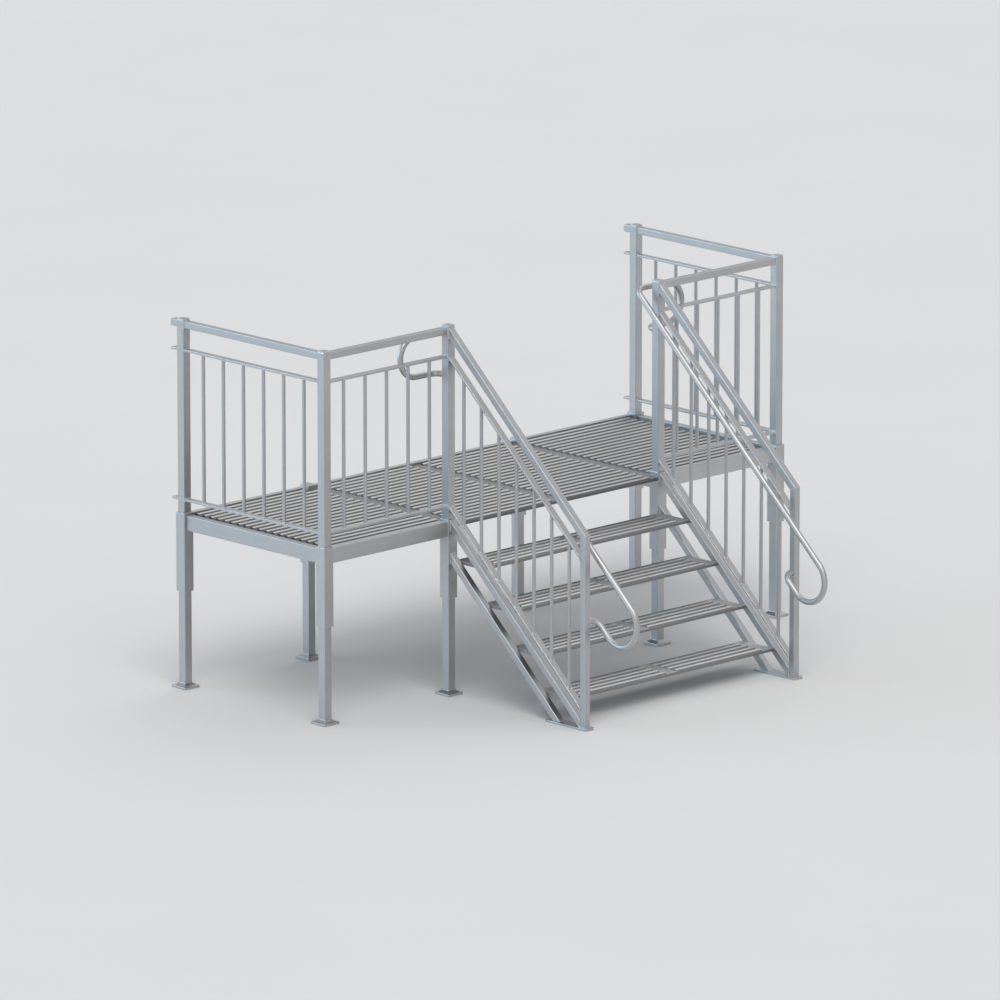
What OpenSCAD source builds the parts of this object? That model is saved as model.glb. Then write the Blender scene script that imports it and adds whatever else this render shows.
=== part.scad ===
// Fire escape stair: a raised aluminium landing on telescoping legs with a guarded flight.
// Units are millimetres, Z is up, the flight goes down towards -Y and the open back faces +Y.

/* [Layout] */
// Spacing of the post centres in each side bay
bay_side = 940; // [600:10:1500]
// Spacing of the post centres on either side of the flight
bay_stair = 1630; // [900:10:2200]
// Spacing of the front and back rows of posts
landing_depth = 1130; // [800:10:1600]
// Height of the deck surface above the ground
deck_z = 984; // [800:1:1200]
// Height of the guard above the deck surface
guard_h = 1116; // [900:2:1300]

/* [Posts, sleeves and legs] */
// Side of the square guard posts and of the inner legs
post_w = 52; // [40:1:80]
// Wall of the posts and legs
post_wall = 4; // [2:0.5:8]
// Outer corner radius of the square tubes
tube_r = 3; // [1:0.5:10]
// Wall of the sleeves
sleeve_wall = 8; // [5:0.5:12]
// Gap on each side between a leg and its sleeve
leg_clear = 0.5; // [0.3:0.1:1.5]
// Gap on each side between a post and its sleeve
post_clear = 0.2; // [0.1:0.1:0.5]
// Length of each sleeve
sleeve_len = 448; // [400:2:600]
// Height of the sleeve rim above the deck surface
sleeve_rim = 18; // [10:1:40]
// Depth of a post inside its sleeve
post_seat = 105; // [80:5:140]
// Thickness of the plate in a sleeve that the post stands on
post_stop = 6; // [4:1:12]
// Length of leg held in the sleeve
leg_hold = 200; // [160:5:220]
// Side of the square foot plates
foot_w = 110; // [90:2:160]
// Thickness of the foot plates
foot_t = 15; // [8:1:25]
// Height of the sloped collar on each foot
foot_collar = 14; // [6:1:30]
// Width of the level edge around each foot collar
foot_edge = 12; // [4:1:20]
// Thickness of the caps on the posts and on the sleeves without a post
cap_t = 6; // [3:1:10]
// Height of the post tops above the level top rails
cap_rise = 10; // [0:1:20]
// Depth of the groove under a post cap and of the chamfer on its edge
cap_groove = 1.5; // [0.5:0.5:3]

/* [Deck] */
// Depth of the edge beams
beam_h = 84; // [60:2:140]
// Height of the edge beams' tops above the deck surface
beam_rise = 5; // [0:1:12]
// Width of the edge beams at the front and at the ends
beam_w = 40; // [30:1:60]
// Width of the edge beams at the back
back_beam_w = 30; // [20:1:40]
// Wall of the beams
beam_wall = 4; // [2:0.5:8]
// Reach of the plank seat inside each edge beam
seat_w = 22; // [12:1:40]
// Thickness of the plank seat
seat_t = 8; // [4:1:14]
// Spacing of the ribs on the decks
rib_pitch = 55.8; // [40:0.2:80]
// Distance from the front edge of a deck or tread to its first rib
rib_lead = 26.5; // [20:0.5:40]
// Width of each rib
rib_w = 34; // [16:1:38]
// Height of each rib
rib_h = 9; // [3:0.5:10]
// Thickness of the plank skin under the ribs
skin_t = 5; // [3:0.5:8]
// Full depth of a plank from rib top to underside
plank_h = 26; // [20:1:40]
// Thickness of the webs below the plank skin
web_t = 5; // [3:0.5:10]
// Ribs on one plank
plank_ribs = 4; // [3:1:6]
// Plain strip at the ends of the middle deck and of the treads
rib_stop = 85; // [20:1:120]
// Plain strip across the middle of the middle deck and of the treads
mid_strip = 84; // [20:2:160]
// Plain strip of a side deck beside its end beam
end_strip = 52; // [20:1:120]
// Radius of the rounded front edge of the planks
nose_r = 8; // [3:0.5:10]
// Gap between a deck and the piece beside it
deck_gap = 1; // [0.5:0.5:4]

/* [Guards] */
// Depth of the top rails
rail_h = 40; // [30:1:60]
// Width of the top rails and of the flats
rail_w = 40; // [30:1:50]
// Wall of the top rails
rail_wall = 3; // [2:0.5:6]
// Thickness of the flats
flat_t = 12; // [6:1:20]
// Drop from the top of the guard to the top of the middle flat
mid_drop = 170; // [100:5:250]
// Height of the bottom flat's top above the deck surface
low_flat_h = 97; // [60:1:160]
// Diameter of the balusters
baluster_d = 20; // [12:1:28]
// Spacing of the balusters on the landing
baluster_pitch = 162; // [90:1:200]
// Least distance from a post centre to the first baluster
baluster_end = 100; // [60:5:160]
// Reach of the rail stubs behind the back posts
stub_len = 54; // [20:1:100]

/* [Flight] */
// Drop from tread to tread
rise = 206; // [180:1:230]
// Going from tread to tread
going = 223.5; // [200:0.5:280]
// Distance from the front post line to the back of the first going
first_edge = 45; // [36:1:60]
// Depth of each tread from nose to back edge
tread_depth = 233; // [210:1:270]
// Spacing of the ribs on the treads
tread_pitch = 54; // [40:1:64]
// Thickness of the end plates of a tread
tread_end_t = 5; // [3:0.5:10]
// Width of the stringers
stringer_w = 40; // [30:1:50]
// Depth of the stringers across the slope
stringer_depth = 40; // [30:1:60]
// Wall of the stringers
stringer_wall = 3; // [2:0.5:6]
// Height of the upper stringer's top line over the tread noses
upper_over_nose = 3; // [0:1:30]
// Drop from the upper to the lower stringer's top line
lower_drop = 186; // [150:2:230]
// Side of the square newels
newel_w = 40; // [30:1:60]
// Distance from the last nose to the newel centre
newel_out = 139; // [100:1:200]
// Length of the ground plate under each newel
plate_len = 325; // [280:5:400]
// Width of the ground plate
plate_w = 76; // [60:2:120]
// Thickness of the ground plate
plate_t = 12; // [6:1:20]
// Corner radius of the ground plate
plate_r = 20; // [5:1:30]
// Reach of the ground plate in front of the newel centre
plate_front = 42; // [30:1:60]
// Drop from the post top to the sloping rail where it leaves the post
stair_rail_drop = 16; // [0:1:60]
// Drop from the sloping rail's top line to the sloping middle flat
stair_mid_drop = 163; // [120:2:240]
// Gap between the upper stringer and the sloping bottom flat, measured upright
stair_low_gap = 55; // [30:1:90]
// Thickness of the sloping flats
stair_flat_t = 10; // [6:1:16]
// Spacing of the stair balusters
stair_pitch = 138.5; // [90:0.5:170]

/* [Handrails] */
// Diameter of the handrail tube
hand_d = 34; // [28:1:45]
// Distance of the handrail from the guard's middle plane
hand_in = 84; // [70:1:120]
// Drop from the sloping rail's top line to the handrail's centre line
hand_drop = 150; // [100:5:250]
// Reach of the straight handrail in front of the newel centre
hand_out = 275; // [200:5:320]
// Radius of the lower return loop
loop_r = 130; // [80:2:140]
// Distance of the level handrail behind the front post line
hand_back = 95; // [75:1:130]
// Reach of the level handrail beside the stair post
hand_side = 159; // [120:2:300]
// Radius of the landing loop
side_loop_r = 116; // [60:2:130]
// Radius of the bends next to the fixings
bend_r = 58; // [30:1:62]
// Radius of the bend at the top of the slope
top_bend_r = 55; // [30:1:80]

/* [Hidden] */
eps = 0.02;
round_sides = 48;
hand_sides = 20;
arc_steps = 8;
treads = 4;
slope = rise / going;
angle = atan(slope);
top_z = deck_z + guard_h;
rail_top = top_z - cap_rise;
inner_r = 0.5;
sleeve_w = post_w + 2 * (sleeve_wall + leg_clear);
leg_bore = post_w + 2 * leg_clear;
post_bore = post_w + 2 * post_clear;
sleeve_top = deck_z + sleeve_rim;
sleeve_low = sleeve_top - sleeve_len;
post_low = sleeve_top - post_seat;
leg_top = sleeve_low + leg_hold;
half_sleeve = sleeve_w / 2;
half_post = post_w / 2;
stair_x = bay_stair / 2;
end_x = stair_x + bay_side;
skin_z = deck_z - rib_h;
under_z = deck_z - plank_h;
beam_top = deck_z + beam_rise;
beam_low = beam_top - beam_h;
deck_back = landing_depth + half_sleeve - back_beam_w - deck_gap;
rib_r = (rib_w * rib_w / 4 + rib_h * rib_h) / (2 * rib_h);
plank_w = plank_ribs * rib_pitch;
mid_z = top_z - mid_drop;
low_z = deck_z + low_flat_h;
last_nose = -first_edge - treads * going;
newel_y = last_nose - newel_out;
rail_z0 = top_z - stair_rail_drop;
nose_z0 = deck_z + slope * (first_edge - half_sleeve);
tread_x = stair_x - stringer_w / 2;
loop_mid_y = newel_y - hand_out + loop_r * sin(angle);
front_y = loop_mid_y - loop_r - hand_d / 2;
back_y = landing_depth + half_post + stub_len;
shift_y = -(front_y + back_y) / 2;
newel_front = newel_y - newel_w / 2;
newel_back = newel_y + newel_w / 2;
lower_end = newel_back + newel_w / 2;
mitre_a = [newel_front, rail_line(newel_front)];
mitre_b = [newel_back, rail_line(newel_back) - across(rail_h)];
mitre_over = (mitre_a - mitre_b) / 4;

// Height of the sloping rail's top line at a given Y.
function rail_line(y) = rail_z0 + slope * (y + half_post);

// Height of the upper stringer's top line at a given Y.
function upper_line(y) = nose_z0 + upper_over_nose + slope * (y + half_sleeve);

// Height of the lower stringer's top line at a given Y.
function lower_line(y) = upper_line(y) - lower_drop;

// Vertical measure of a depth taken across the slope.
function across(d) = d / cos(angle);

// Places at a pitch from a first one, each with room for half a width inside two limits.
function places_in(first, pitch, y0, y1, half) =
    [for (y = [first : pitch : y1 - half]) if (y >= y0 + half) y];

// Balusters that fit between two post centres.
function copies(length, pitch) = floor((length - 2 * baluster_end) / pitch) + 1;

// Two runs of ribs on either side of the middle strip of a plank that reaches to half.
function split_runs(half) = [[rib_stop - half, -mid_strip / 2], [mid_strip / 2, half - rib_stop]];

// Unit vector along v.
function unit(v) = v / norm(v);

// Points of a rounded corner at b between a and c with radius r.
function corner(a, b, c, r) =
    let (u = unit(a - b), w = unit(c - b))
    let (half = acos(u * w) / 2, m = unit(u + w))
    let (mid = b + m * r / sin(half), turn = 180 - 2 * half)
    let (e1 = unit(b + u * r / tan(half) - mid))
    let (e2 = unit(-u - e1 * (-u * e1)))
    [for (i = [0 : arc_steps]) mid + r * (e1 * cos(turn * i / arc_steps) + e2 * sin(turn * i / arc_steps))];

// Path through the points p with a bend of radius r[i] at each inner point.
function bent_path(p, r) = concat(
    [p[0]],
    [for (i = [1 : len(p) - 2]) each corner(p[i - 1], p[i], p[i + 1], r[i])],
    [p[len(p) - 1]]);

// Direction of the path at point i.
function heading(p, i) = unit(p[min(i + 1, len(p) - 1)] - p[max(i - 1, 0)]);

// Side vectors carried along the path without twist.
function carried(p, i = 0, v = [0, 0, 1], out = []) =
    i == len(p) ? out :
    let (t = i == 0 ? unit(p[1] - p[0]) : i == len(p) - 1 ? unit(p[i] - p[i - 1]) : heading(p, i))
    let (s = unit(v - t * (v * t)))
    carried(p, i + 1, s, concat(out, [[s, cross(t, s)]]));

// Solid with its Y and Z outline given by 2D children, from x over a width w.
module across_x(x, w) {
    translate([x, 0, 0])
        rotate([90, 0, 90])
            linear_extrude(w)
                children();
}

// Box from one corner to the opposite one.
module span(a, b) {
    translate(a)
        cube(b - a);
}

// Rectangle with rounded corners, centred on the origin.
module rounded(w, h, r) {
    square([w - 2 * r, h], center = true);
    square([w, h - 2 * r], center = true);
    for (x = [r - w / 2, w / 2 - r])
        for (y = [r - h / 2, h / 2 - r])
            translate([x, y])
                circle(r, $fn = round_sides);
}

// Section of a tube with rounded corners outside and inside.
module tube_outline(w, h, wall) {
    difference() {
        rounded(w, h, tube_r);
        rounded(w - 2 * wall, h - 2 * wall, max(tube_r - wall, inner_r));
    }
}

// Level tube along X with its top at z.
module tube_x(x0, x1, y, z, w, h, wall) {
    translate([0, y, z - h / 2])
        across_x(x0, x1 - x0)
            tube_outline(w, h, wall);
}

// Level tube along Y with its top at z.
module tube_y(x, y0, y1, z, w, h, wall) {
    translate([x, y1, z - h / 2])
        rotate([90, 0, 0])
            linear_extrude(y1 - y0)
                tube_outline(w, h, wall);
}

// Sloping tube with its top line through z at y; it starts above y to be cut there.
module slope_tube(y, z, length, w, depth, wall) {
    translate([0, y, z])
        rotate([angle, 0, 0])
            translate([0, depth, -depth / 2])
                rotate([90, 0, 0])
                    linear_extrude(length + depth)
                        tube_outline(w, depth, wall);
}

// One sleeve: a stop plate carries the post, or a cap closes the top where no post stands.
module sleeve(x, y, capped) {
    bore_top = capped ? sleeve_top - cap_t : post_low - post_stop;
    translate([x, y, sleeve_low])
        difference() {
            linear_extrude(sleeve_len)
                rounded(sleeve_w, sleeve_w, tube_r);
            translate([0, 0, -1])
                linear_extrude(bore_top - sleeve_low + 1)
                    square(leg_bore, center = true);
            if (!capped)
                translate([0, 0, sleeve_len - post_seat])
                    linear_extrude(post_seat + 1)
                        square(post_bore, center = true);
        }
}

// One telescoping leg with its foot plate and sloped collar.
module leg(x, y) {
    inner = half_post - post_wall;
    rim = foot_w / 2 - foot_edge;
    top = foot_t + foot_collar;
    wedge = [[-rim, foot_t], [rim, foot_t], [half_post, top], [-half_post, top]];
    translate([x, y + shift_y, 0]) {
        span([-foot_w / 2, -foot_w / 2, 0], [foot_w / 2, foot_w / 2, foot_t]);
        intersection() {
            across_x(-rim, 2 * rim)
                polygon(wedge);
            rotate([0, 0, 90])
                across_x(-rim, 2 * rim)
                    polygon(wedge);
        }
        difference() {
            translate([0, 0, foot_t - eps])
                linear_extrude(leg_top - foot_t + eps)
                    rounded(post_w, post_w, tube_r);
            span([-inner, -inner, top], [inner, inner, leg_top + 1]);
        }
    }
}

// Outline of a post seen from the side, with a chamfered top edge.
module post_side() {
    out = half_post + 1;
    in = half_post - cap_groove;
    polygon([[-out, post_low - 1], [out, post_low - 1], [out, top_z - cap_groove - 1], [in, top_z],
             [-in, top_z], [-out, top_z - cap_groove - 1]]);
}

// One hollow guard post, closed by a cap with a groove under it.
module post(x, y) {
    inner = half_post - post_wall;
    neck = top_z - cap_t - cap_groove;
    translate([x, y + shift_y, 0])
        difference() {
            intersection() {
                translate([0, 0, post_low])
                    linear_extrude(top_z - post_low)
                        rounded(post_w, post_w, tube_r);
                across_x(-post_w, 2 * post_w)
                    post_side();
                rotate([0, 0, 90])
                    across_x(-post_w, 2 * post_w)
                        post_side();
            }
            translate([0, 0, neck])
                linear_extrude(cap_groove)
                    difference() {
                        square(2 * post_w, center = true);
                        rounded(post_w - 2 * cap_groove, post_w - 2 * cap_groove, tube_r);
                    }
            span([-inner, -inner, post_low - 1], [inner, inner, neck]);
        }
}

// The solid stubs of rail and flats that point from a back post to the wall.
module stubs(x) {
    y0 = landing_depth + half_post;
    y1 = y0 + stub_len;
    translate([0, shift_y, 0]) {
        translate([x, y1, rail_top - rail_h / 2])
            rotate([90, 0, 0])
                linear_extrude(stub_len + eps)
                    rounded(rail_w, rail_h, tube_r);
        for (z = [mid_z, low_z])
            span([x - rail_w / 2, y0 - eps, z - flat_t], [x + rail_w / 2, y1, z]);
    }
}

// Edge beam along Y between the corner sleeves; side is -1 for left, 1 for right.
module end_beam(side) {
    y0 = half_sleeve;
    y1 = landing_depth - half_sleeve;
    inside = end_x - beam_w / 2;
    seat_y = beam_w / 2 + seat_w + deck_gap;
    translate([0, shift_y, 0])
        mirror([side < 0 ? 1 : 0, 0, 0]) {
            tube_y(end_x, y0, y1, beam_top, beam_w, beam_h, beam_wall);
            span([inside - seat_w, seat_y, under_z - seat_t],
                 [inside + eps, landing_depth - seat_y, under_z]);
        }
}

// Beam along Y under the joint of two decks.
module cross_beam(side) {
    translate([0, shift_y, 0])
        tube_y(side * stair_x, half_sleeve, landing_depth - half_sleeve, under_z,
               post_w, under_z - beam_low, beam_wall);
}

// Edge beam along X between two limits; back is 0 for the front row, 1 for the back row.
module edge_beam(x0, x1, back) {
    w = back > 0 ? back_beam_w : beam_w;
    inside = back > 0 ? back_beam_w - half_sleeve : beam_w / 2;
    translate([0, shift_y + back * landing_depth, 0])
        mirror([0, back, 0]) {
            tube_x(x0, x1, inside - w / 2, beam_top, w, beam_h, beam_wall);
            span([x0, inside - eps, under_z - seat_t], [x1, inside + seat_w, under_z]);
        }
}

// Edge beam of a side bay; side is -1 for left, 1 for right.
module bay_beam(side, back) {
    xm = side * (stair_x + end_x) / 2;
    half = bay_side / 2 - half_sleeve;
    edge_beam(xm - half, xm + half, back);
}

// Rounded ribs along X at the given places, with their tops at z.
module ribs(x0, x1, places, z) {
    across_x(x0, x1 - x0)
        for (y = places)
            translate([y, z - rib_h])
                intersection() {
                    translate([0, rib_h - rib_r])
                        circle(rib_r, $fn = round_sides);
                    translate([-rib_w / 2, -skin_t / 2])
                        square([rib_w, rib_h + skin_t]);
                }
}

// Skin of a plank with its top at z: a rounded nose at y0 and a web at each of the given places.
module skin(x0, x1, y0, y1, z, webs) {
    low = z - plank_h;
    top = z - rib_h;
    across_x(x0, x1 - x0) {
        translate([y0 + nose_r, top - nose_r])
            circle(nose_r, $fn = round_sides);
        translate([y0 + nose_r, top - skin_t])
            square([y1 - y0 - nose_r, skin_t]);
        translate([y0, low])
            square([web_t, plank_h - rib_h - nose_r]);
        for (y = webs)
            translate([y, low])
                square([web_t, top - low - skin_t / 2]);
    }
}

// Ribbed deck between two X and two Y limits; runs lists the X limits of its runs of ribs.
module deck(x0, x1, y0, y1, runs) {
    first = rib_lead - half_sleeve;
    places = places_in(first, rib_pitch, y0, y1, rib_w / 2);
    seams = places_in(first - rib_pitch / 2, plank_w, y0, y1, 2 * web_t);
    skin(x0, x1, y0, y1, deck_z, concat(seams, [y1 - web_t]));
    for (run = runs)
        ribs(run[0], run[1], places, deck_z);
}

// The places where sleeves pass through a deck.
module sleeve_holes(xs) {
    g = half_sleeve + deck_gap;
    for (x = xs)
        for (y = [0, landing_depth])
            span([x - g, y - g, under_z - 1], [x + g, y + g, deck_z + 1]);
}

// Deck of a side bay.
module side_deck(side) {
    x0 = stair_x + deck_gap / 2;
    x1 = end_x - beam_w / 2 - deck_gap;
    y0 = beam_w / 2 + deck_gap;
    translate([0, shift_y, 0])
        mirror([side < 0 ? 1 : 0, 0, 0])
            difference() {
                deck(x0, x1, y0, deck_back, [[x0, x1 - end_strip]]);
                sleeve_holes([stair_x, end_x]);
            }
}

// Round baluster standing at x and y between two heights.
module baluster(x, y, z0, z1) {
    translate([x, y, z0])
        cylinder(d = baluster_d, h = z1 - z0, $fn = round_sides);
}

// Guard at one end of the landing.
module end_guard(side) {
    x = side * end_x;
    y0 = half_post;
    y1 = landing_depth - half_post;
    n = copies(landing_depth, baluster_pitch);
    translate([0, shift_y, 0]) {
        tube_y(x, y0, y1, rail_top, rail_w, rail_h, rail_wall);
        for (z = [mid_z, low_z])
            span([x - rail_w / 2, y0, z - flat_t], [x + rail_w / 2, y1, z]);
        for (i = [0 : n - 1])
            baluster(x, landing_depth / 2 + (i - (n - 1) / 2) * baluster_pitch,
                     low_z - eps, mid_z - flat_t + eps);
    }
}

// Guard along the front of a side bay.
module front_guard(side) {
    x0 = stair_x + half_post;
    x1 = end_x - half_post;
    xm = (x0 + x1) / 2;
    n = copies(bay_side, baluster_pitch);
    translate([0, shift_y, 0])
        mirror([side < 0 ? 1 : 0, 0, 0]) {
            tube_x(x0, x1, 0, rail_top, rail_w, rail_h, rail_wall);
            for (z = [mid_z, low_z])
                span([x0, -rail_w / 2, z - flat_t], [x1, rail_w / 2, z]);
            for (i = [0 : n - 1])
                baluster(xm + (i - (n - 1) / 2) * baluster_pitch, 0, low_z - eps, mid_z - flat_t + eps);
        }
}

// Stringer whose top line is z0 at the sleeve face, cut by the newel and the ground plate.
module stringer(side, z0, y_end) {
    length = across(-half_sleeve - y_end + stringer_depth);
    translate([side * stair_x, shift_y, 0])
        intersection() {
            slope_tube(-half_sleeve, z0, length, stringer_w, stringer_depth, stringer_wall);
            span([-stringer_w, y_end, plate_t], [stringer_w, -half_sleeve, sleeve_top]);
        }
}

// Tread number i counted down from the deck, a single ribbed plank between end plates.
module tread(i) {
    z = deck_z - i * rise;
    y0 = -first_edge - i * going;
    y1 = y0 + tread_depth;
    places = places_in(y0 + rib_lead, tread_pitch, y0, y1, rib_w / 2);
    translate([0, shift_y, 0]) {
        skin(-tread_x, tread_x, y0, y1, z, [y1 - web_t]);
        for (run = split_runs(tread_x))
            ribs(run[0], run[1], places, z);
        for (x = [-tread_x, tread_x - tread_end_t])
            span([x, y0 + nose_r, z - plank_h], [x + tread_end_t, y1, z - rib_h - skin_t / 2]);
    }
}

// Newel with its rounded ground plate and a top cut for the mitre with the sloping rail.
module newel(side) {
    a = mitre_a + mitre_over;
    b = mitre_b - mitre_over;
    translate([side * stair_x, shift_y, 0]) {
        translate([0, newel_y - plate_front + plate_len / 2, 0])
            linear_extrude(plate_t)
                rounded(plate_w, plate_len, plate_r);
        intersection() {
            translate([0, newel_y, plate_t - eps])
                linear_extrude(a[1])
                    tube_outline(newel_w, newel_w, rail_wall);
            across_x(-newel_w, 2 * newel_w)
                polygon([[a[0], 0], [b[0], 0], b, a]);
        }
    }
}

// Sloping flat of a stair guard with its top line at z where it leaves the post.
module stair_flat(z) {
    f = across(stair_flat_t);
    z1 = z - slope * (-half_post - newel_back);
    across_x(-rail_w / 2, rail_w)
        polygon([[-half_post, z], [-half_post, z - f], [newel_back, z1 - f], [newel_back, z1]]);
}

// Sloping guard from a stair post to its newel.
module stair_guard(side) {
    yp = -half_post;
    half_flat = across(stair_flat_t) / 2;
    mid = rail_line(yp) - stair_mid_drop;
    low = upper_line(yp) + stair_low_gap + 2 * half_flat;
    fall = slope * (yp - newel_back);
    n = copies(-newel_y, stair_pitch);
    translate([side * stair_x, shift_y, 0]) {
        intersection() {
            slope_tube(yp, rail_line(yp), across(yp - mitre_a[0] + rail_h), rail_w, rail_h, rail_wall);
            across_x(-rail_w, 2 * rail_w)
                polygon([[yp, top_z], [yp, rail_line(yp) - 2 * across(rail_h)],
                         mitre_b - mitre_over, mitre_a + mitre_over]);
        }
        stair_flat(mid);
        stair_flat(low);
        intersection() {
            for (i = [0 : n - 1])
                baluster(0, newel_y / 2 + (i - (n - 1) / 2) * stair_pitch, plate_t, top_z);
            across_x(-rail_w, 2 * rail_w)
                polygon([[yp, mid - half_flat], [yp, low - half_flat],
                         [newel_back, low - half_flat - fall], [newel_back, mid - half_flat - fall]]);
        }
    }
}

// Bent handrail tube from the newel round the lower loop, up the flight and round the landing loop.
module handrail(side) {
    x = stair_x - hand_in;
    xn = stair_x - newel_w / 2;
    s = [0, -cos(angle), -sin(angle)];
    n = [0, sin(angle), -cos(angle)];
    p = [x, newel_y - hand_out, rail_line(newel_y - hand_out) - hand_drop];
    q = p + 2 * loop_r * n;
    zn = q[2] + slope * (newel_y - q[1]);
    zt = rail_line(hand_back) - hand_drop;
    zb = zt - 2 * side_loop_r;
    xs = stair_x + hand_side + side_loop_r;
    pts = [[xn, newel_y, zn], [x, newel_y, zn], q + loop_r * s, p + loop_r * s, [x, hand_back, zt],
           [xs, hand_back, zt], [xs, hand_back, zb], [stair_x, hand_back, zb], [stair_x, half_post, zb]];
    low_r = loop_r - eps;
    side_r = side_loop_r - eps;
    radii = [0, bend_r, low_r, low_r, top_bend_r, side_r, side_r, bend_r, 0];
    path = bent_path(pts, radii);
    sides = carried(path);
    ring = [for (k = [0 : hand_sides - 1]) 360 * k / hand_sides];
    verts = [for (i = [0 : len(path) - 1]) for (a = ring)
        path[i] + hand_d / 2 * (sides[i][0] * cos(a) + sides[i][1] * sin(a))];
    last = (len(path) - 1) * hand_sides;
    faces = concat(
        [[for (k = [0 : hand_sides - 1]) k]],
        [for (i = [0 : len(path) - 2]) for (k = [0 : hand_sides - 1])
            [i * hand_sides + k, (i + 1) * hand_sides + k,
             (i + 1) * hand_sides + (k + 1) % hand_sides, i * hand_sides + (k + 1) % hand_sides]],
        [[for (k = [hand_sides - 1 : -1 : 0]) last + k]]);
    translate([0, shift_y, 0])
        mirror([side < 0 ? 1 : 0, 0, 0])
            polyhedron(verts, faces, convexity = 10);
}

module front_sleeves() color("#b4bec6") translate([0, shift_y, 0])
    for (x = [-end_x, -stair_x, stair_x, end_x]) sleeve(x, 0, false);
module back_sleeves() color("#b4bec6") translate([0, shift_y, 0])
    for (x = [-end_x, -stair_x, stair_x, end_x]) sleeve(x, landing_depth, abs(x) < end_x);
module leg_front_left() color("#a4aeb6") leg(-end_x, 0);
module leg_stair_left() color("#a4aeb6") leg(-stair_x, 0);
module leg_stair_right() color("#a4aeb6") leg(stair_x, 0);
module leg_front_right() color("#a4aeb6") leg(end_x, 0);
module leg_back_left() color("#a4aeb6") leg(-end_x, landing_depth);
module leg_mid_back_left() color("#a4aeb6") leg(-stair_x, landing_depth);
module leg_mid_back_right() color("#a4aeb6") leg(stair_x, landing_depth);
module leg_back_right() color("#a4aeb6") leg(end_x, landing_depth);
module post_front_left() color("#b4bec6") post(-end_x, 0);
module post_stair_left() color("#b4bec6") post(-stair_x, 0);
module post_stair_right() color("#b4bec6") post(stair_x, 0);
module post_front_right() color("#b4bec6") post(end_x, 0);
module post_back_left() color("#b4bec6") union() { post(-end_x, landing_depth); stubs(-end_x); }
module post_back_right() color("#b4bec6") union() { post(end_x, landing_depth); stubs(end_x); }
module left_end_beam() color("#aab4bc") end_beam(-1);
module right_end_beam() color("#aab4bc") end_beam(1);
module left_cross_beam() color("#aab4bc") cross_beam(-1);
module right_cross_beam() color("#aab4bc") cross_beam(1);
module left_front_beam() color("#aab4bc") bay_beam(-1, 0);
module right_front_beam() color("#aab4bc") bay_beam(1, 0);
module left_back_beam() color("#aab4bc") bay_beam(-1, 1);
module middle_back_beam() color("#aab4bc") edge_beam(half_sleeve - stair_x, stair_x - half_sleeve, 1);
module right_back_beam() color("#aab4bc") bay_beam(1, 1);
module left_deck() color("#989ea3") side_deck(-1);
module right_deck() color("#989ea3") side_deck(1);
module middle_deck() color("#989ea3") translate([0, shift_y, 0])
    difference() {
        deck(-stair_x + deck_gap / 2, stair_x - deck_gap / 2, -half_sleeve, deck_back, split_runs(stair_x));
        sleeve_holes([-stair_x, stair_x]);
    }
module left_end_guard() color("#b4bec6") end_guard(-1);
module right_end_guard() color("#b4bec6") end_guard(1);
module left_front_guard() color("#b4bec6") front_guard(-1);
module right_front_guard() color("#b4bec6") front_guard(1);
module left_upper_stringer() color("#aab4bc") stringer(-1, upper_line(-half_sleeve), newel_back);
module right_upper_stringer() color("#aab4bc") stringer(1, upper_line(-half_sleeve), newel_back);
module left_lower_stringer() color("#aab4bc") stringer(-1, lower_line(-half_sleeve), lower_end);
module right_lower_stringer() color("#aab4bc") stringer(1, lower_line(-half_sleeve), lower_end);
module tread_1() color("#989ea3") tread(1);
module tread_2() color("#989ea3") tread(2);
module tread_3() color("#989ea3") tread(3);
module tread_4() color("#989ea3") tread(4);
module left_newel() color("#b4bec6") newel(-1);
module right_newel() color("#b4bec6") newel(1);
module left_stair_guard() color("#b4bec6") stair_guard(-1);
module right_stair_guard() color("#b4bec6") stair_guard(1);
module left_handrail() color("#c4cad0") handrail(-1);
module right_handrail() color("#c4cad0") handrail(1);

front_sleeves();
back_sleeves();
leg_front_left();
leg_stair_left();
leg_stair_right();
leg_front_right();
leg_back_left();
leg_mid_back_left();
leg_mid_back_right();
leg_back_right();
post_front_left();
post_stair_left();
post_stair_right();
post_front_right();
post_back_left();
post_back_right();
left_end_beam();
right_end_beam();
left_cross_beam();
right_cross_beam();
left_front_beam();
right_front_beam();
left_back_beam();
middle_back_beam();
right_back_beam();
left_deck();
middle_deck();
right_deck();
left_end_guard();
right_end_guard();
left_front_guard();
right_front_guard();
left_upper_stringer();
left_lower_stringer();
right_upper_stringer();
right_lower_stringer();
tread_1();
tread_2();
tread_3();
tread_4();
left_newel();
right_newel();
left_stair_guard();
right_stair_guard();
left_handrail();
right_handrail();
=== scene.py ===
"""Fire escape stair: metal finishes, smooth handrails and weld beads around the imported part.

Lengths are metres in the part's own frame: X to the right, the flight goes down towards -Y, Z up.
"""
import math

import bmesh
import bpy
from mathutils import Matrix, Vector


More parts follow.
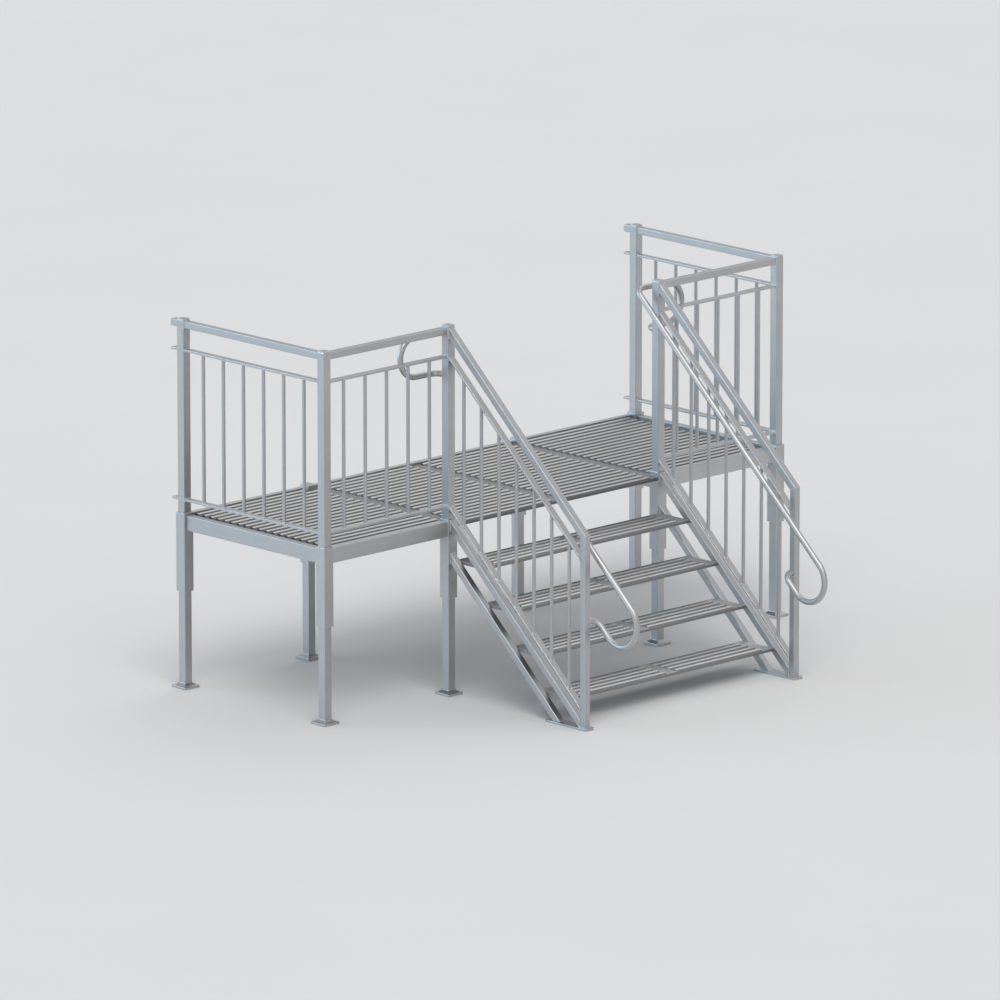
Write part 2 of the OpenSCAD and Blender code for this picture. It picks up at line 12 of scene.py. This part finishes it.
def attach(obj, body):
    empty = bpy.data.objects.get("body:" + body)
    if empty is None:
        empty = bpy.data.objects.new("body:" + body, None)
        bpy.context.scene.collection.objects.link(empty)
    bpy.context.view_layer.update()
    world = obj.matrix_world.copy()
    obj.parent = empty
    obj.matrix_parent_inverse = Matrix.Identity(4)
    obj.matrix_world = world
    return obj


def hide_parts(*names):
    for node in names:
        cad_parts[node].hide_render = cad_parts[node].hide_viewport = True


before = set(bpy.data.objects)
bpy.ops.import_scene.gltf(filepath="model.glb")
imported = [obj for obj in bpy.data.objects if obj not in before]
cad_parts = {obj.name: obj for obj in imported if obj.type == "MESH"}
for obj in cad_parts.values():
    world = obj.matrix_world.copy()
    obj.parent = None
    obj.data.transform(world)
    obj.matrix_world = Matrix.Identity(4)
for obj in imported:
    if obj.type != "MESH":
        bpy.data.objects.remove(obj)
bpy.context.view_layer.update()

# Main sizes of the stair, the same as in the part's source.
FRONT_Y = 0.100947          # centre line of the front row of posts
LANDING_DEPTH = 1.130
STAIR_X = 0.815             # centre line of the stair posts
END_X = 1.755               # centre line of the corner posts
DECK_TOP = 0.984
TOP_Z = 2.100
RIB_H = 0.009
RISE = 0.206
GOING = 0.2235
SLOPE = RISE / GOING
PITCH_ANGLE = math.atan(SLOPE)
HALF_POST = 0.026
FIRST_EDGE = 0.045          # front post line to the back of the first going
NEWEL_REACH = 0.139         # last going to the centre line of the newels
NEWEL_Y = FRONT_Y - FIRST_EDGE - 4 * GOING - NEWEL_REACH
NEWEL_HALF = 0.020
RAIL_START_Z = TOP_Z - 0.016
MID_FLAT_Z = TOP_Z - 0.170
LOW_FLAT_Z = DECK_TOP + 0.097
FLAT_T = 0.012
HAND_R = 0.0168
RAIL_W = 0.040              # rails, newels and stringers have this width and depth
RAIL_TOP = TOP_Z - 0.010
SLEEVE_HALF = 0.0345
STAIR_FLAT_T = 0.010
STAIR_MID_DROP = 0.163      # top line of the sloping rail to its upper flat
STAIR_LOW_RISE = 0.055      # top line of the upper stringer to the lower flat
STRINGER_LIFT = 0.003       # top line of the upper stringer over the deck edge
LOWER_DROP = 0.186          # upper stringer to lower stringer
BALUSTER_R = 0.010
BALUSTER_PITCH = 0.162      # on the landing
STAIR_PITCH = 0.1385        # balusters along the flight, measured level
PLATE_T = 0.012             # ground plate under each newel
WELD = 0.004                # reach of the weld beads
HALF_STRIP = 0.042          # half of the plain strip across the middle of the planks
BLUR = 0.001                # how softly one plank tone passes into the next
TUBE_EDGE = 0.004           # soft edge of the tubes
PLANK_EDGE = 0.0015         # soft edge of the ribs
RIB_STOP = 0.085            # plain strip at the ends of the treads and of the middle deck
TREAD_X = STAIR_X - RAIL_W / 2  # half length of the treads

# Finishes

GRAIN_ALONG_X = (0.0, 0.0, 0.0)
GRAIN_ALONG_Y = (0.0, 0.0, math.radians(90))
GRAIN_ALONG_Z = (0.0, math.radians(90), 0.0)
GRAIN_DOWN_FLIGHT = (0.0, PITCH_ANGLE, math.radians(90))


def new_finish(name):
    """A fresh material with its node tree and its shader."""
    material = bpy.data.materials.new(name)
    material.use_nodes = True
    tree = material.node_tree
    return material, tree, tree.nodes["Principled BSDF"]


def node(tree, kind, inputs=None, **settings):
    """A node with its settings made; inputs are values or the outputs that feed it."""
    made = tree.nodes.new(kind)
    for key, value in settings.items():
        setattr(made, key, value)
    for key, value in (inputs or {}).items():
        if isinstance(value, bpy.types.NodeSocket):
            tree.links.new(value, made.inputs[key])
        else:
            made.inputs[key].default_value = value
    return made


def object_place(tree):
    """Object coordinates of the shaded point."""
    return node(tree, "ShaderNodeTexCoord").outputs["Object"]


def noise(tree, vector, scale, detail=3.0, roughness=0.55):
    """A grey noise between 0 and 1."""
    made = node(tree, "ShaderNodeTexNoise",
                {"Vector": vector, "Scale": scale, "Detail": detail, "Roughness": roughness})
    return made.outputs["Fac"]


def grain(tree, place, turn, across=420.0, along=3.0):
    """Fine lines that run along the length of an extruded tube."""
    turned = node(tree, "ShaderNodeVectorRotate", {"Vector": place, "Rotation": turn},
                  rotation_type="EULER_XYZ", invert=True).outputs["Vector"]
    stretched = node(tree, "ShaderNodeMapping", {"Vector": turned, "Scale": (along, across, across)})
    return noise(tree, stretched.outputs["Vector"], 1.0, 2.0)


def between(tree, value, low, high, out_low, out_high):
    """Value mapped from one range to another and held at the ends."""
    made = node(tree, "ShaderNodeMapRange",
                {"Value": value, "From Min": low, "From Max": high, "To Min": out_low, "To Max": out_high})
    return made.outputs["Result"]


def blend_colour(tree, share, dark, light):
    """Colour between two tones."""
    made = node(tree, "ShaderNodeMix", data_type="RGBA")
    tree.links.new(share, made.inputs["Factor"])
    for socket, value in (("A_Color", dark), ("B_Color", light)):
        target = next(i for i in made.inputs if i.identifier == socket)
        if isinstance(value, bpy.types.NodeSocket):
            tree.links.new(value, target)
        else:
            target.default_value = (*value, 1.0)
    return next(o for o in made.outputs if o.identifier == "Result_Color")


def maths(tree, operation, a, b):
    """Result of one sum on two values or outputs."""
    return node(tree, "ShaderNodeMath", {0: a, 1: b}, operation=operation).outputs["Value"]


def relief(tree, shader, height, depth, strength, soft):
    """Bump from a height, on normals that are rounded at the edges."""
    bump = node(tree, "ShaderNodeBump",
                {"Height": height, "Distance": depth, "Strength": strength, "Normal": soft})
    tree.links.new(bump.outputs["Normal"], shader.inputs["Normal"])


def edge_normals_and_mask(tree, radius):
    """Normals rounded at the edges, and a mask of 1 along the edges and 0 on the flats."""
    soft = node(tree, "ShaderNodeBevel", {"Radius": radius}, samples=6).outputs["Normal"]
    flat = node(tree, "ShaderNodeNewGeometry").outputs["True Normal"]
    agree = node(tree, "ShaderNodeVectorMath", {0: soft, 1: flat}, operation="DOT_PRODUCT")
    return soft, between(tree, agree.outputs["Value"], 0.995, 0.90, 0.0, 1.0)


def tube_finish(name, turn, dark, light, shine):
    """Satin extruded aluminium: lines along the tube, soft cloudy tone, fine pores, edges lightened as wear
    and as a painted highlight.
    """
    material, tree, shader = new_finish(name)
    place = object_place(tree)
    lines = grain(tree, place, turn)
    clouds = noise(tree, place, 7.0, 4.0, 0.6)
    pores = noise(tree, place, 900.0, 2.0)
    tone = maths(tree, "ADD", maths(tree, "MULTIPLY", lines, 0.45), maths(tree, "MULTIPLY", clouds, 0.55))
    shade = between(tree, tone, 0.3, 0.7, 0.0, 1.0)
    soft, edge = edge_normals_and_mask(tree, TUBE_EDGE)
    # Edges painted lighter: partly rubbing wear, partly a painted highlight along the corners.
    rubbed_and_highlit = maths(tree, "MULTIPLY", edge, between(tree, clouds, 0.25, 0.6, 0.5, 1.0))
    body = blend_colour(tree, shade, dark, light)
    edge_highlight_tone = tuple(1.6 * channel for channel in light)
    tree.links.new(blend_colour(tree, rubbed_and_highlit, body, edge_highlight_tone), shader.inputs["Base Color"])
    shader.inputs["Metallic"].default_value = 1.0
    dull = between(tree, tone, 0.3, 0.7, shine + 0.07, shine - 0.05)
    tree.links.new(dull, shader.inputs["Roughness"])
    height = maths(tree, "ADD", maths(tree, "MULTIPLY", lines, 0.6), maths(tree, "MULTIPLY", pores, 0.4))
    relief(tree, shader, height, 0.0004, 0.12, soft)
    return material


def plank_finish(name, rib_top, rib_end, shaded_groove_dark, shaded_groove_light, strip_lit_tone, highlit_rib_tone):
    """Ribbed tread plank: rougher grooves and body in a dark tone of painted shade, tops of the ribs
    lightened as wear and as a painted highlight, plain strips where the ribs stop in a lighter tone of
    painted light.
    """
    material, tree, shader = new_finish(name)
    place = object_place(tree)
    parts = node(tree, "ShaderNodeSeparateXYZ", {"Vector": place}).outputs
    height_of = parts["Z"]
    normal = node(tree, "ShaderNodeNewGeometry").outputs["Normal"]
    facing = node(tree, "ShaderNodeSeparateXYZ", {"Vector": normal})
    lines = grain(tree, place, GRAIN_ALONG_X)
    clouds = noise(tree, place, 5.0, 5.0, 0.6)
    scuffs = noise(tree, place, 60.0, 4.0, 0.7)
    near_top = between(tree, height_of, rib_top - 0.6 * RIB_H, rib_top - 0.3 * RIB_H, 0.0, 1.0)
    # Upward-facing tops of the ribs painted lighter: partly wear, partly a painted highlight.
    rub_and_highlight = maths(tree, "MULTIPLY", near_top, between(tree, facing.outputs["Z"], 0.3, 0.6, 0.0, 1.0))
    worn_and_highlit = maths(tree, "MULTIPLY", rub_and_highlight, between(tree, scuffs, 0.3, 0.6, 0.8, 1.0))
    from_middle = maths(tree, "ABSOLUTE", parts["X"], 0.0)
    skin_top = rib_top - RIB_H
    above_nose = between(tree, height_of, skin_top - 0.002, skin_top - 0.0005, 0.0, 1.0)
    middle = between(tree, from_middle, HALF_STRIP - BLUR, HALF_STRIP + BLUR, 1.0, 0.0)
    past_ribs = between(tree, from_middle, rib_end - BLUR, rib_end + BLUR, 0.0, 1.0)
    inside_posts = between(tree, from_middle, STAIR_X - BLUR, STAIR_X + BLUR, 1.0, 0.0)
    ends = maths(tree, "MULTIPLY", past_ribs, inside_posts)
    in_strip = maths(tree, "MULTIPLY", above_nose, maths(tree, "MAXIMUM", middle, ends))
    # The plank body and its grooves take a dark tone: painted shade between the ribs.
    shaded_groove = blend_colour(tree, clouds, shaded_groove_dark, shaded_groove_light)
    highlit_rib = blend_colour(tree, lines, highlit_rib_tone, tuple(1.16 * channel for channel in highlit_rib_tone))
    # The plain strips get a lighter tone than the grooves: painted light for the light and reflections they
    # catch.
    plain = blend_colour(tree, in_strip, shaded_groove, strip_lit_tone)
    tree.links.new(blend_colour(tree, worn_and_highlit, plain, highlit_rib), shader.inputs["Base Color"])
    shader.inputs["Metallic"].default_value = 1.0
    dull = maths(tree, "ADD", between(tree, worn_and_highlit, 0.0, 1.0, 0.52, 0.42),
                 between(tree, clouds, 0.3, 0.7, -0.04, 0.05))
    tree.links.new(dull, shader.inputs["Roughness"])
    height = maths(tree, "ADD", maths(tree, "MULTIPLY", lines, 0.6), maths(tree, "MULTIPLY", scuffs, 0.4))
    relief(tree, shader, height, 0.0005, 0.15, edge_normals_and_mask(tree, PLANK_EDGE)[0])
    return material


TUBE_DARK, TUBE_LIGHT = (0.44, 0.447, 0.455), (0.515, 0.522, 0.53)
# Beams: a lighter copy of the tube tone, painted light against the shade reflected in their faces.
LIFTED_BEAM_DARK, LIFTED_BEAM_LIGHT = (0.48, 0.485, 0.49), (0.56, 0.565, 0.57)
# Legs: their own copy of the tube tone, its level set against the shade under the landing: painted light.
LEG_DARK, LEG_LIGHT = (0.43, 0.437, 0.445), (0.505, 0.512, 0.52)
HAND_DARK, HAND_LIGHT = (0.46, 0.46, 0.46), (0.54, 0.54, 0.54)

upright_tube = tube_finish("upright_tube", GRAIN_ALONG_Z, TUBE_DARK, TUBE_LIGHT, 0.36)
rail_along_x = tube_finish("rail_along_x", GRAIN_ALONG_X, TUBE_DARK, TUBE_LIGHT, 0.36)
# The front and back beams get the lightened copy of the tube finish: painted light.
front_beam = tube_finish("front_beam", GRAIN_ALONG_X, LIFTED_BEAM_DARK, LIFTED_BEAM_LIGHT, 0.36)
rail_along_y = tube_finish("rail_along_y", GRAIN_ALONG_Y, TUBE_DARK, TUBE_LIGHT, 0.36)
sloping_tube = tube_finish("sloping_tube", GRAIN_DOWN_FLIGHT, TUBE_DARK, TUBE_LIGHT, 0.36)
sleeve_tube = tube_finish("sleeve_tube", GRAIN_ALONG_Z, TUBE_DARK, TUBE_LIGHT, 0.40)
leg_tube = tube_finish("leg_tube", GRAIN_ALONG_Z, LEG_DARK, LEG_LIGHT, 0.40)
hand_tube = tube_finish("hand_tube", GRAIN_DOWN_FLIGHT, HAND_DARK, HAND_LIGHT, 0.42)
weld_metal = tube_finish("weld_metal", GRAIN_ALONG_Z, (0.50, 0.51, 0.52), (0.60, 0.61, 0.62), 0.42)
# The deck's copy of the plank finish is darker than the treads': painted shade.
deck_plank = plank_finish("deck_plank", DECK_TOP, STAIR_X - RIB_STOP, (0.15, 0.152, 0.154),
                          (0.21, 0.212, 0.214), (0.31, 0.313, 0.316), (0.52, 0.52, 0.52))


def dress(name, material):
    """Puts one finish on a CAD node."""
    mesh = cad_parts[name].data
    mesh.materials.clear()
    mesh.materials.append(material)


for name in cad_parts:
    if name.startswith("leg_"):
        dress(name, leg_tube)
    elif name.startswith("post_") or name.endswith("_newel"):
        dress(name, upright_tube)
    elif name.endswith("_sleeves"):
        dress(name, sleeve_tube)
    elif name.endswith(("_end_beam", "_cross_beam", "_end_guard")):
        dress(name, rail_along_y)
    elif name.endswith(("_front_beam", "_back_beam")):
        dress(name, front_beam)
    elif name.endswith("_front_guard"):
        dress(name, rail_along_x)
    elif name.endswith(("_stringer", "_stair_guard")):
        dress(name, sloping_tube)
    elif name.endswith("_handrail"):
        dress(name, hand_tube)
    elif name.endswith("_deck"):
        dress(name, deck_plank)
    elif name.startswith("tread_"):
        step = int(name.split("_")[1])
        # Treads: a lighter copy of the plank tones than the deck's, painted light.
        dress(name, plank_finish(f"tread_plank_{step}", DECK_TOP - step * RISE, TREAD_X - RIB_STOP,
                                 (0.25, 0.252, 0.254), (0.31, 0.312, 0.314), (0.62, 0.625, 0.63),
                                 (0.68, 0.68, 0.68)))


# Handrails

def bent_tube(name, points, radii, tube_r, sides=28, steps=14):
    """A round tube that follows the points, with a bend of the given radius at each inner one."""
    bm = bmesh.new()
    heading = (points[1] - points[0]).normalized()
    start = Matrix.Translation(points[0]) @ heading.to_track_quat("Z", "Y").to_matrix().to_4x4()
    ring = bmesh.ops.create_circle(bm, cap_ends=False, radius=tube_r, segments=sides, matrix=start)
    edges = list({e for v in ring["verts"] for e in v.link_edges})
    first = edges
    at = points[0]
    for i in range(1, len(points)):
        heading = (points[i] - points[i - 1]).normalized()
        if i == len(points) - 1:
            run_end, turn = points[i], None
        else:
            onward = (points[i + 1] - points[i]).normalized()
            turn = heading.angle(onward)
            run_end = points[i] - heading * radii[i] * math.tan(turn / 2)
        if (run_end - at).dot(heading) > 1e-5:
            made = bmesh.ops.extrude_edge_only(bm, edges=edges)["geom"]
            moved = [g for g in made if isinstance(g, bmesh.types.BMVert)]
            bmesh.ops.translate(bm, verts=moved, vec=run_end - at)
            edges = [g for g in made if isinstance(g, bmesh.types.BMEdge)]
            edges = [e for e in edges if len(e.link_faces) == 1]
        if turn is None:
            break
        axis = heading.cross(onward).normalized()
        centre = run_end + axis.cross(heading) * radii[i]
        made = bmesh.ops.spin(bm, geom=edges, cent=centre, axis=axis, angle=turn,
                              steps=max(3, round(steps * turn / (math.pi / 2))), use_merge=False)["geom_last"]
        edges = [g for g in made if isinstance(g, bmesh.types.BMEdge)]
        at = points[i] + onward * radii[i] * math.tan(turn / 2)
    for rim in (first, edges):
        bmesh.ops.contextual_create(bm, geom=rim)
    bmesh.ops.remove_doubles(bm, verts=bm.verts, dist=1e-6)
    bmesh.ops.recalc_face_normals(bm, faces=bm.faces)
    mesh = bpy.data.meshes.new(name)
    bm.to_mesh(mesh)
    bm.free()
    for face in mesh.polygons:
        face.use_smooth = len(face.vertices) == 4
    made = bpy.data.objects.new(name, mesh)
    bpy.context.scene.collection.objects.link(made)
    return made


def rail_line(y):
    """Height of the sloping rail's top line."""
    return RAIL_START_Z + SLOPE * (y - FRONT_Y + HALF_POST)


def handrail_route(side):
    """Corner points and bend radii of one handrail, from the newel to the stair post."""
    hand_in, hand_drop, hand_out = 0.084, 0.150, 0.275
    loop_r, side_loop_r, bend_r, top_bend_r = 0.130, 0.116, 0.058, 0.055
    hand_y = FRONT_Y + 0.095
    x = STAIR_X - hand_in
    down = Vector((0.0, -math.cos(PITCH_ANGLE), -math.sin(PITCH_ANGLE)))
    under = Vector((0.0, math.sin(PITCH_ANGLE), -math.cos(PITCH_ANGLE)))
    out_y = NEWEL_Y - hand_out
    upper = Vector((x, out_y, rail_line(out_y) - hand_drop))
    lower = upper + under * 2 * loop_r
    fix_z = lower.z + SLOPE * (NEWEL_Y - lower.y)
    level = rail_line(hand_y) - hand_drop
    low = level - 2 * side_loop_r
    far_x = STAIR_X + 0.159 + side_loop_r
    points = [Vector((STAIR_X - NEWEL_HALF, NEWEL_Y, fix_z)), Vector((x, NEWEL_Y, fix_z)),
              lower + down * loop_r, upper + down * loop_r, Vector((x, hand_y, level)),
              Vector((far_x, hand_y, level)), Vector((far_x, hand_y, low)),
              Vector((STAIR_X, hand_y, low)), Vector((STAIR_X, FRONT_Y + HALF_POST, low))]
    radii = [0.0, bend_r, loop_r, loop_r, top_bend_r, side_loop_r, side_loop_r, bend_r, 0.0]
    return [Vector((side * p.x, p.y, p.z)) for p in points], radii


for word, side in (("left", -1), ("right", 1)):
    rail = bent_tube(f"{word}_hand_tube", *handrail_route(side), HAND_R)
    rail.data.materials.append(hand_tube)
    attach(rail, "platform")
    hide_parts(f"{word}_handrail")

# Weld beads

def weld_bead(bm, centre, u, v, lift, half_u, half_v, sides):
    """A closed ring of weld round a bar: u and v lie in the face it meets, lift runs along the bar."""
    corner = Matrix()
    if sides == 4:
        corner = Matrix.Rotation(math.radians(45), 4, "Z") @ Matrix.Scale(math.sqrt(2), 4)
    rings = []
    for out, rise in ((1.0, 0.0), (0.65, 0.6), (0.0, 1.0), (-0.2, -0.2)):
        axes = Matrix((u * (half_u + out * WELD), v * (half_v + out * WELD), lift)).transposed().to_4x4()
        made = bmesh.ops.create_circle(bm, cap_ends=False, radius=1.0, segments=sides,
                                       matrix=Matrix.Translation(centre + lift * rise * WELD) @ axes @ corner)
        rings.append(list({e for vert in made["verts"] for e in vert.link_edges}))
    for ring, following in zip(rings, rings[1:] + rings[:1]):
        bmesh.ops.bridge_loops(bm, edges=ring + following)


def weld_piece(name, bm, smooth):
    """One object of all the beads in bm, carried by the platform."""
    bmesh.ops.recalc_face_normals(bm, faces=bm.faces)
    mesh = bpy.data.meshes.new(name)
    bm.to_mesh(mesh)
    bm.free()
    for face in mesh.polygons:
        face.use_smooth = smooth
    mesh.materials.append(weld_metal)
    made = bpy.data.objects.new(name, mesh)
    bpy.context.scene.collection.objects.link(made)
    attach(made, "platform")


def spread_evenly(middle, pitch, count):
    """Centres of a row of balusters."""
    return [middle + (i - (count - 1) / 2) * pitch for i in range(count)]


def upper_stringer_line(y):
    """Height of the upper stringer's top line."""
    return DECK_TOP + STRINGER_LIFT + SLOPE * (y - FRONT_Y + FIRST_EDGE)


def baluster_welds():
    """Beads at both ends of every baluster."""
    bm = bmesh.new()
    x_axis, y_axis, up = Vector((1, 0, 0)), Vector((0, 1, 0)), Vector((0, 0, 1))
    half = BALUSTER_R
    end_row = spread_evenly(FRONT_Y + LANDING_DEPTH / 2, BALUSTER_PITCH, 6)
    front_row = spread_evenly((STAIR_X + END_X) / 2, BALUSTER_PITCH, 5)
    level = [(side * END_X, y) for side in (-1, 1) for y in end_row]
    level += [(side * x, FRONT_Y) for side in (-1, 1) for x in front_row]
    for x, y in level:
        weld_bead(bm, Vector((x, y, LOW_FLAT_Z)), x_axis, y_axis, up, half, half, 16)
        weld_bead(bm, Vector((x, y, MID_FLAT_Z - FLAT_T)), x_axis, y_axis, -up, half, half, 16)
    along = Vector((0, 1, SLOPE))
    flat = STAIR_FLAT_T / math.cos(PITCH_ANGLE)
    for side in (-1, 1):
        for y in spread_evenly((FRONT_Y + NEWEL_Y) / 2, STAIR_PITCH, 7):
            low = upper_stringer_line(y) + STAIR_LOW_RISE + flat
            high = rail_line(y) - STAIR_MID_DROP - flat
            weld_bead(bm, Vector((side * STAIR_X, y, low)), x_axis, along, up, half, half, 16)
            weld_bead(bm, Vector((side * STAIR_X, y, high)), x_axis, along, -up, half, half, 16)
    weld_piece("baluster_welds", bm, True)


def joint_welds():
    """Beads where rails, flats and stringers meet posts and newels."""
    bm = bmesh.new()
    x_axis, y_axis, up = Vector((1, 0, 0)), Vector((0, 1, 0)), Vector((0, 0, 1))
    down_flight, up_flight = Vector((0, -1, -SLOPE)), Vector((0, 1, SLOPE))
    half = RAIL_W / 2
    levels = ((RAIL_TOP - half, half), (MID_FLAT_Z - FLAT_T / 2, FLAT_T / 2),
              (LOW_FLAT_Z - FLAT_T / 2, FLAT_T / 2))
    steep = 1 / math.cos(PITCH_ANGLE)
    flat = STAIR_FLAT_T * steep
    post_y, newel_y = FRONT_Y - HALF_POST, NEWEL_Y + NEWEL_HALF
    for side in (-1, 1):
        for z, half_z in levels:
            for y, way in ((FRONT_Y + HALF_POST, 1), (FRONT_Y + LANDING_DEPTH - HALF_POST, -1)):
                weld_bead(bm, Vector((side * END_X, y, z)), x_axis, up, y_axis * way, half, half_z, 4)
            for x, way in ((STAIR_X + HALF_POST, 1), (END_X - HALF_POST, -1)):
                lift = x_axis * way * side
                weld_bead(bm, Vector((side * x, FRONT_Y, z)), y_axis, up, lift, half, half_z, 4)
        x = side * STAIR_X
        slopes = ((rail_line, 0.0, RAIL_W * steep), (rail_line, -STAIR_MID_DROP, flat),
                  (upper_stringer_line, STAIR_LOW_RISE + flat, flat))
        for line, shift, deep in slopes:
            z = line(post_y) + shift - deep / 2
            weld_bead(bm, Vector((x, post_y, z)), x_axis, up, down_flight, half, deep / 2, 4)
        above_plate = upper_stringer_line(newel_y) - PLATE_T - WELD
        for line, shift, deep in slopes[1:] + ((upper_stringer_line, 0.0, above_plate),):
            z = line(newel_y) + shift - deep / 2
            weld_bead(bm, Vector((x, newel_y, z)), x_axis, up, up_flight, half, deep / 2, 4)
        for drop in (0.0, LOWER_DROP):
            y = FRONT_Y - SLEEVE_HALF
            z = upper_stringer_line(y) - drop - RAIL_W * steep / 2
            weld_bead(bm, Vector((x, y, z)), x_axis, up, down_flight, half, RAIL_W * steep / 2, 4)
        weld_bead(bm, Vector((x, NEWEL_Y, PLATE_T)), x_axis, y_axis, up, NEWEL_HALF, NEWEL_HALF, 4)
    weld_piece("joint_welds", bm, False)


baluster_welds()
joint_welds()


# Studio

def pale_floor():
    """A wide plain floor that takes the shadow."""
    material, tree, shader = new_finish("pale_floor")
    place = object_place(tree)
    tone = noise(tree, place, 0.6, 3.0)
    pale = blend_colour(tree, tone, (0.69, 0.69, 0.69), (0.72, 0.72, 0.72))
    tree.links.new(pale, shader.inputs["Base Color"])
    shader.inputs["Roughness"].default_value = 0.85
    bm = bmesh.new()
    bmesh.ops.create_circle(bm, cap_ends=True, radius=60.0, segments=96)
    mesh = bpy.data.meshes.new("studio_floor")
    bm.to_mesh(mesh)
    bm.free()
    mesh.materials.append(material)
    floor = bpy.data.objects.new("studio_floor", mesh)
    bpy.context.scene.collection.objects.link(floor)


def soft_light(name, comes_from, spread, power, colour):
    """A broad, even lamp from one side, with soft shadows."""
    data = bpy.data.lights.new(name, "SUN")
    data.angle = math.radians(spread)
    data.energy = power
    data.color = colour
    lamp = bpy.data.objects.new(name, data)
    lamp.rotation_euler = Vector(comes_from).to_track_quat("Z", "Y").to_euler()
    lamp.location = Vector(comes_from) * 10.0
    bpy.context.scene.collection.objects.link(lamp)


def pale_world():
    """Even pale surroundings."""
    world = bpy.data.worlds.new("studio_world")
    bpy.context.scene.world = world
    world.use_nodes = True
    ground = world.node_tree.nodes["Background"]
    ground.inputs["Color"].default_value = (0.98, 0.99, 1.0, 1.0)
    ground.inputs["Strength"].default_value = 0.62


def photo_camera():
    """The camera of the photograph: far away with a long lens, level, from the front left."""
    data = bpy.data.cameras.new("photo_camera")
    data.sensor_width = 36.0
    data.lens = 438.06
    data.clip_end = 400.0
    camera = bpy.data.objects.new("photo_camera", data)
    camera.location = (-46.0179, -47.0191, 16.8311)
    target = Vector((-0.2248, 0.3021, 0.9733))
    camera.rotation_euler = (target - camera.location).to_track_quat("-Z", "Y").to_euler()
    bpy.context.scene.collection.objects.link(camera)
    bpy.context.scene.camera = camera


pale_floor()
pale_world()
soft_light("key_light", (-0.35, -0.45, 0.82), 40.0, 1.15, (1.0, 0.97, 0.94))
soft_light("high_back_light", (0.68, 0.25, 0.68), 40.0, 0.26, (1.0, 1.0, 1.0))
soft_light("front_edge_light", (-0.66, -0.68, 0.32), 60.0, 0.15, (1.0, 1.0, 1.0))
soft_light("cool_side_light", (-0.70, 0.71, 0.03), 50.0, 1.75, (0.42, 0.74, 1.0))
photo_camera()
bpy.context.scene.view_settings.view_transform = "Standard"
